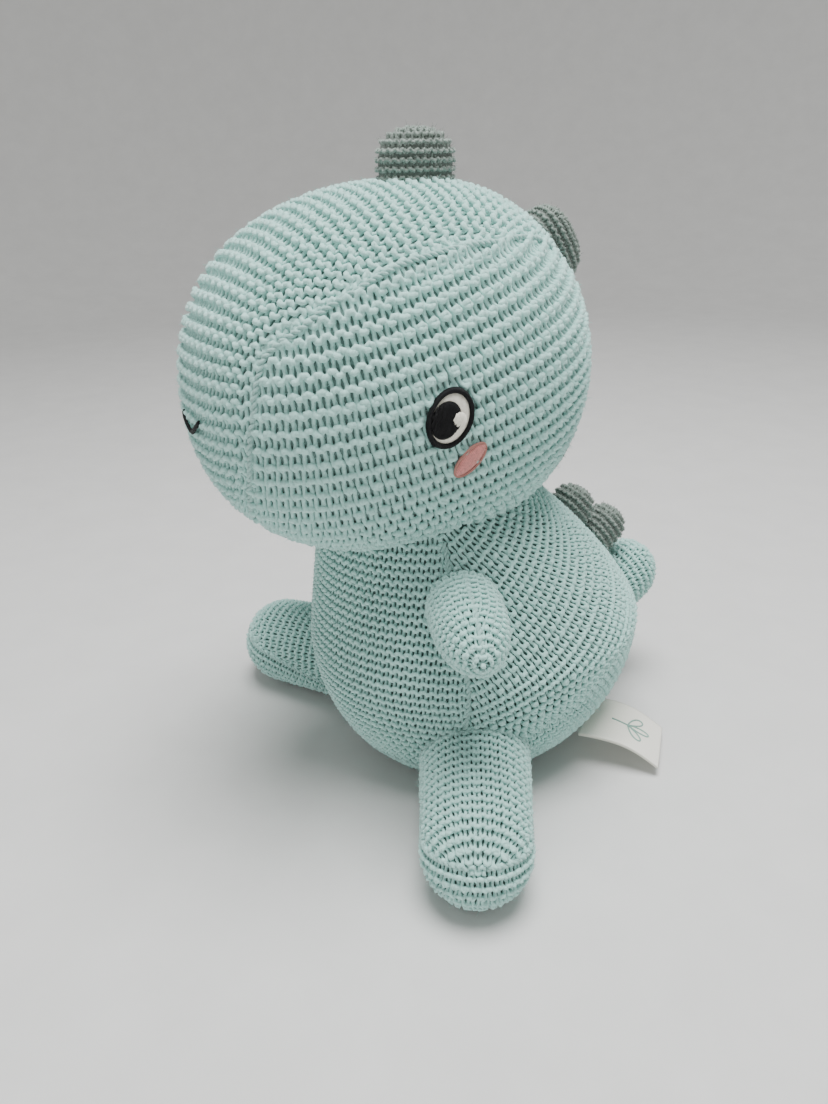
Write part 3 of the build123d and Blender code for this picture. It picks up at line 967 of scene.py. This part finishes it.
def threads(pile, starts, ends, offset, radius, flip, crown=0.35, tuck=0.7):
    """Satin stitches from each start to each end, arched over the knit."""
    share = np.linspace(0, 1, 7)
    arch = offset + crown * np.sin(math.pi * share) - tuck * np.abs(2 * share - 1) ** 4
    for start, end in zip(starts, ends):
        if np.linalg.norm(end - start) < 0.7:
            continue
        spots = start + (end - start) * share[:, None]
        path, normals = on_cheek(spots, arch + 0.05 * rng.normal(), flip)
        sweep(pile, path, normals, radius, 5)


def chords(centre, size, tilt, way, gap):
    """Parallel stitches across an ellipse: way is their angle from the ellipse's first axis."""
    turn = np.linspace(0, 2 * math.pi, 721)
    edge = np.stack([size[0] * np.cos(turn), size[1] * np.sin(turn)], -1)
    along = np.array([math.cos(way), math.sin(way)])
    across = np.array([-along[1], along[0]])
    offsets = edge @ across
    starts, ends = [], []
    for offset in np.arange(offsets.min() + gap / 2, offsets.max(), gap):
        near = np.flatnonzero(np.diff(np.sign(offsets - offset)))
        reach = np.sort((edge @ along)[near])
        starts.append(along * reach[0] + across * offset)
        ends.append(along * reach[-1] + across * offset)
    spin = np.array([[math.cos(tilt), math.sin(tilt)], [-math.sin(tilt), math.cos(tilt)]])
    return np.array(starts) @ spin + centre, np.array(ends) @ spin + centre


EYE_HEIGHT = 0.95  # how far the eye's ring of stitches stands off the head
HEM_HEIGHT = 0.80
HEM = 1  # material number of a hem
THREAD = {"black_thread": black_thread, "cream_thread": cream_thread, "pink_thread": pink_thread}
around = np.linspace(0, 2 * math.pi, 97)


def patch(kind, side, flip, slot, spot, sizes, height, stitches, rise, radius, hems=(), **shape):
    """One embroidered patch: a thin dome, satin stitches over it and hems of thread round it.

    The spot is the patch's centre and tilt. The sizes are those of the dome's rings. The height is
    the dome's over the head, and the rise is how much higher the stitches are.
    """
    centre, tilt = spot
    pile = Pile()
    rings = np.array([ellipse(centre, size, tilt, around) for size in sizes])
    grid, normals = on_cheek(rings, np.full(rings.shape[:2], height), flip)
    slab(pile, grid, normals, 0.0, -height - 0.6)
    threads(pile, *stitches, height + rise, radius, flip, **shape)
    for size in hems:
        line = ellipse(centre, size, tilt, around)
        edge, edge_normals = on_cheek(line, np.full(len(around), HEM_HEIGHT), flip)
        sweep(pile, edge, edge_normals, radius, 5, HEM)
    piece = pile.piece(f"{kind}_stitches_{side}", (THREAD[slot], dark_pink_thread))
    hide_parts(f"{kind}_{side}")
    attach(piece, "head")


GLINT_SIZE = np.array([2.3, 2.3])
for side, flip in SIDES:
    turn = np.linspace(0, 2 * math.pi, 150, endpoint=False)
    inner = ellipse(EYE, EYE_INNER - 0.2, EYE_TILT, turn)
    outer = ellipse(EYE, EYE_OUTER, EYE_TILT, turn + 0.03)
    patch("eye_ring", side, flip, "black_thread", (EYE, EYE_TILT),
          (EYE_OUTER - 0.3, EYE_INNER), EYE_HEIGHT - 0.2, (inner, outer), 0.2, 0.24, crown=0.5)

    outer = ellipse(EYE, EYE_INNER, EYE_TILT, np.linspace(0, 2 * math.pi, 120, endpoint=False))
    inner = EYE + (outer - EYE) * 0.25
    sizes = [EYE_INNER * share for share in (1.0, 0.7, 0.4, 0.1)]
    patch("eye_white", side, flip, "cream_thread", (EYE, EYE_TILT),
          sizes, EYE_HEIGHT - 0.35, (inner, outer), 0.15, 0.24, crown=0.15)

    stitches = chords(PUPIL, PUPIL_SIZE, EYE_TILT, math.pi / 2, 0.42)
    sizes = [PUPIL_SIZE * share for share in (0.97, 0.6, 0.1)]
    patch("eye_pupil", side, flip, "black_thread", (PUPIL, EYE_TILT),
          sizes, EYE_HEIGHT + 0.3, stitches, 0.1, 0.26, tuck=0.15)

    stitches = chords(GLINT, GLINT_SIZE, 0, math.pi / 3, 0.34)
    sizes = [GLINT_SIZE * share for share in (0.9, 0.5, 0.1)]
    patch("eye_glint", side, flip, "cream_thread", (GLINT, 0),
          sizes, EYE_HEIGHT + 0.7, stitches, 0.15, 0.22, crown=0.3, tuck=0.2)

    stitches = chords(CHEEK, CHEEK_SIZE, CHEEK_TILT, math.radians(80), 0.55)
    sizes = [CHEEK_SIZE * share for share in (0.97, 0.6, 0.1)]
    patch("cheek_patch", side, flip, "pink_thread", (CHEEK, CHEEK_TILT),
          sizes, EYE_HEIGHT - 0.3, stitches, 0.2, 0.30, hems=(CHEEK_SIZE, CHEEK_SIZE + 0.45))

MOUTH_HALF_WIDTH = 8.0
MOUTH_LOW = -9.0
MOUTH_RISE = 5.0
pile = Pile()
share = np.linspace(-1, 1, 61)
for lane, height in ((-0.45, 0.9), (0.0, 1.2), (0.45, 0.9)):
    x = MOUTH_HALF_WIDTH * share
    z = MOUTH_LOW + MOUTH_RISE * np.abs(share) ** 1.4 + lane
    across = np.hypot(x / HEAD_HALF_WIDTH, z / HEAD_HALF_HEIGHT)
    y = -SNOUT_LENGTH * (1 - across**SNOUT_POWER) ** (1 / SNOUT_POWER)
    path = HEAD + np.stack([x, y, z], -1)
    normals = outward(head_value, path)
    weave = 0.12 * np.sin(share * 26 + lane * 7)
    lift = height - 0.5 * np.abs(share) ** 6
    sweep(pile, path + normals * lift[:, None] + UP * weave[:, None], normals, 0.42)
piece = pile.piece("mouth_stitches", (black_thread,))
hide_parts("mouth_stitch")
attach(piece, "head")

# ---- Label: a ribbon folded at its outer end, sagging from the seat seam ----
LABEL_OUT = 53.2  # the sewn edge's distance from the torso's middle line
LABEL_WIDTH = 30.0
LABEL_LENGTH = 34.0
LABEL_SAG = 9.5
LABEL_ARCH = 1.5
LABEL_GAP = 0.7  # between its two layers
label_way = heading(42)
label_side = np.cross(label_way, UP)
label_root = np.array([0, float(torso_centre_y(BASE_SEAM_Z)), BASE_SEAM_Z]) + label_way * LABEL_OUT


def label_middle(across, share):
    """A point of the folded ribbon's middle layer: across its width, and a share of its length."""
    across, share = np.broadcast_arrays(across, share)
    edge = 2 * across / LABEL_WIDTH
    sag = LABEL_ARCH * np.sin(math.pi * share) - LABEL_SAG * share**1.8
    curl = 0.35 * np.sin(share * 7 + across * 0.2) + (0.35 * edge - 0.9 * edge**2) * share
    reach = LABEL_LENGTH * share * 0.985 - 2.0
    line = label_root + reach[..., None] * label_way + across[..., None] * label_side
    return line + (sag + curl)[..., None] * UP


def label_strip(across):
    """The ribbon's course at a place across its width: out on top, round the fold, back below."""
    line = label_middle(across, np.linspace(0, 1, 40))
    fold = line[-1] + label_way * 0.45
    layer = UP * LABEL_GAP / 2
    return np.concatenate([line + layer, fold[None], (line - layer)[::-1]])


lanes = np.linspace(-LABEL_WIDTH / 2, LABEL_WIDTH / 2, 25)
strips = np.array([label_strip(lane) for lane in lanes])
strip_normals = grid_normals(strips, strips.mean(axis=(0, 1)) - UP * 0.01)
pile = Pile()
slab(pile, strips, strip_normals, 0.14, -0.14)
label = pile.piece("label_ribbon_folded", (ribbon_satin, motif_thread))
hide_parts("label_ribbon")
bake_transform(label)

# A sprig of three leaves on a stalk, in plain thread, near the label's middle.
pile = Pile()
turn = np.linspace(0, 2 * math.pi, 61)
figures = []
for tilt in (-0.9, 0.0, 0.9):
    long = 4.6 * (1 - np.cos(turn))
    wide = 2.1 * np.sin(turn) * np.sin(turn / 2)
    across = long * math.sin(tilt) + wide * math.cos(tilt)
    figures.append((across, long * math.cos(tilt) - wide * math.sin(tilt)))
figures.append((np.zeros(12), np.linspace(-7.0, 0.0, 12)))
for across, along in figures:
    share = 0.58 + along / LABEL_LENGTH
    path = label_middle(across, share) + UP * (LABEL_GAP / 2 + 0.22)
    sweep(pile, path, np.tile(UP, (len(path), 1)), 0.36)
motif = pile.piece("label_leaf_stitches", (motif_thread,))
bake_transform(motif)

# ---- Stuffing: each hidden wad is a little smaller than its CAD solid and loosely lumpy ----
WAD_GAP = 1.5  # how far a wad stays inside its CAD solid
WAD_LUMP = 0.5  # how much that varies


def wad_body(name):
    """The body that a wad moves with."""
    part = name.replace("_stuffing", "")
    if part.endswith(("left", "right")) or part == "tail":
        return part
    return "head" if part.startswith("head") else "torso"


for name, node in list(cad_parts.items()):
    if "stuffing" not in name:
        continue
    work = bmesh.new()
    work.from_mesh(node.data)
    work.transform(node.matrix_world)
    bmesh.ops.remove_doubles(work, verts=work.verts, dist=0.00001)
    work.normal_update()
    for vertex in work.verts:
        x, y, z = (c / METRES for c in vertex.co)
        lump = WAD_LUMP * math.sin(x * 0.31 + 1) * math.sin(y * 0.27 + 2) * math.sin(z * 0.33)
        vertex.co -= vertex.normal * (WAD_GAP + lump) * METRES
    mesh = bpy.data.meshes.new(f"{name}_wad")
    work.to_mesh(mesh)
    work.free()
    mesh.materials.append(stuffing_fibre)
    wad = bpy.data.objects.new(f"{name}_wad", mesh)
    bpy.context.collection.objects.link(wad)
    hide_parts(name)
    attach(wad, wad_body(name))

# ---- Stage: a pale floor that curves up all round, soft lights and the camera ----
FLOOR_RADIUS = 1.1
CURVE_RADIUS = 0.7
WALL_HEIGHT = 2.4
profile = [(radius, 0.0) for radius in (0.001, 0.3, 0.7, FLOOR_RADIUS)]
for rise in np.linspace(0.1, math.pi / 2, 14):
    out = FLOOR_RADIUS + CURVE_RADIUS * math.sin(rise)
    profile.append((out, CURVE_RADIUS * (1 - math.cos(rise))))
profile.append((FLOOR_RADIUS + CURVE_RADIUS, WALL_HEIGHT))
spin = np.linspace(0, 2 * math.pi, 97)
rings = [np.stack([r * np.cos(spin), r * np.sin(spin), np.full(97, z)], -1) for r, z in profile]
grid = np.array(rings) / METRES
_, faces = grid_faces(*grid.shape[:2])
stage = Pile()
stage.add(grid, [faces[:, ::-1]])
paper_stops = [(0.3, (0.70, 0.70, 0.69)), (0.7, (0.74, 0.74, 0.73))]
floor_paper, _ = noise_material("floor_paper", paper_stops, 30.0, 900.0, 0.0001, 0.2, 0.9)
stage.piece("studio_floor", (floor_paper,), settle=False)

world = bpy.data.worlds.new("studio_air")
bpy.context.scene.world = world
world.use_nodes = True
air = world.node_tree.nodes["Background"]
air.inputs["Color"].default_value = (1.0, 1.0, 1.0, 1)
air.inputs["Strength"].default_value = 0.33


def area_light(name, place, aim, size, power):
    """A round softbox that faces its aim."""
    data = bpy.data.lights.new(name, "AREA")
    data.shape = "DISK"
    data.size = size
    data.energy = power
    light = bpy.data.objects.new(name, data)
    light.location = place
    way = Vector(place) - Vector(aim)
    light.rotation_euler = way.to_track_quat("Z", "Y").to_euler()
    bpy.context.collection.objects.link(light)


# The key and the fill face away from the toy, and light it off the curved wall.
area_light("overhead_softbox", (0.15, 0.0, 1.15), (0.3, 0.0, 0.1), 0.7, 21.0)
area_light("key_softbox", (0.1, -1.0, 0.75), (0.2, -2.0, 0.12), 0.5, 9.0)
area_light("fill_softbox", (1.0, 0.25, 0.5), (2.0, 0.5, 0.12), 0.6, 3.0)

# The camera looks from the toy's front left, a little above its head.
CAMERA_TURN = math.radians(60.3)
CAMERA_RISE = math.radians(25.0)
CAMERA_ROLL = math.radians(-1.5)
CAMERA_PLACE = (0.2809, -0.1838, 0.2461)
level = np.array([math.cos(CAMERA_TURN), math.sin(CAMERA_TURN), 0])
flat = np.array([math.sin(CAMERA_TURN), -math.cos(CAMERA_TURN), 0])
back = flat * math.cos(CAMERA_RISE) + UP * math.sin(CAMERA_RISE)
above = np.cross(back, level)
right = level * math.cos(CAMERA_ROLL) + above * math.sin(CAMERA_ROLL)
lens = bpy.data.cameras.new("front_left_camera")
lens.lens = 28.69
lens.sensor_width = 36.0
lens.clip_start = 0.01
lens.clip_end = 20.0
camera = bpy.data.objects.new("front_left_camera", lens)
matrix = np.eye(4)
for column, values in enumerate((right, np.cross(back, right), back, CAMERA_PLACE)):
    matrix[:3, column] = values
camera.matrix_world = matrix.T.tolist()
bpy.context.collection.objects.link(camera)
bpy.context.scene.camera = camera
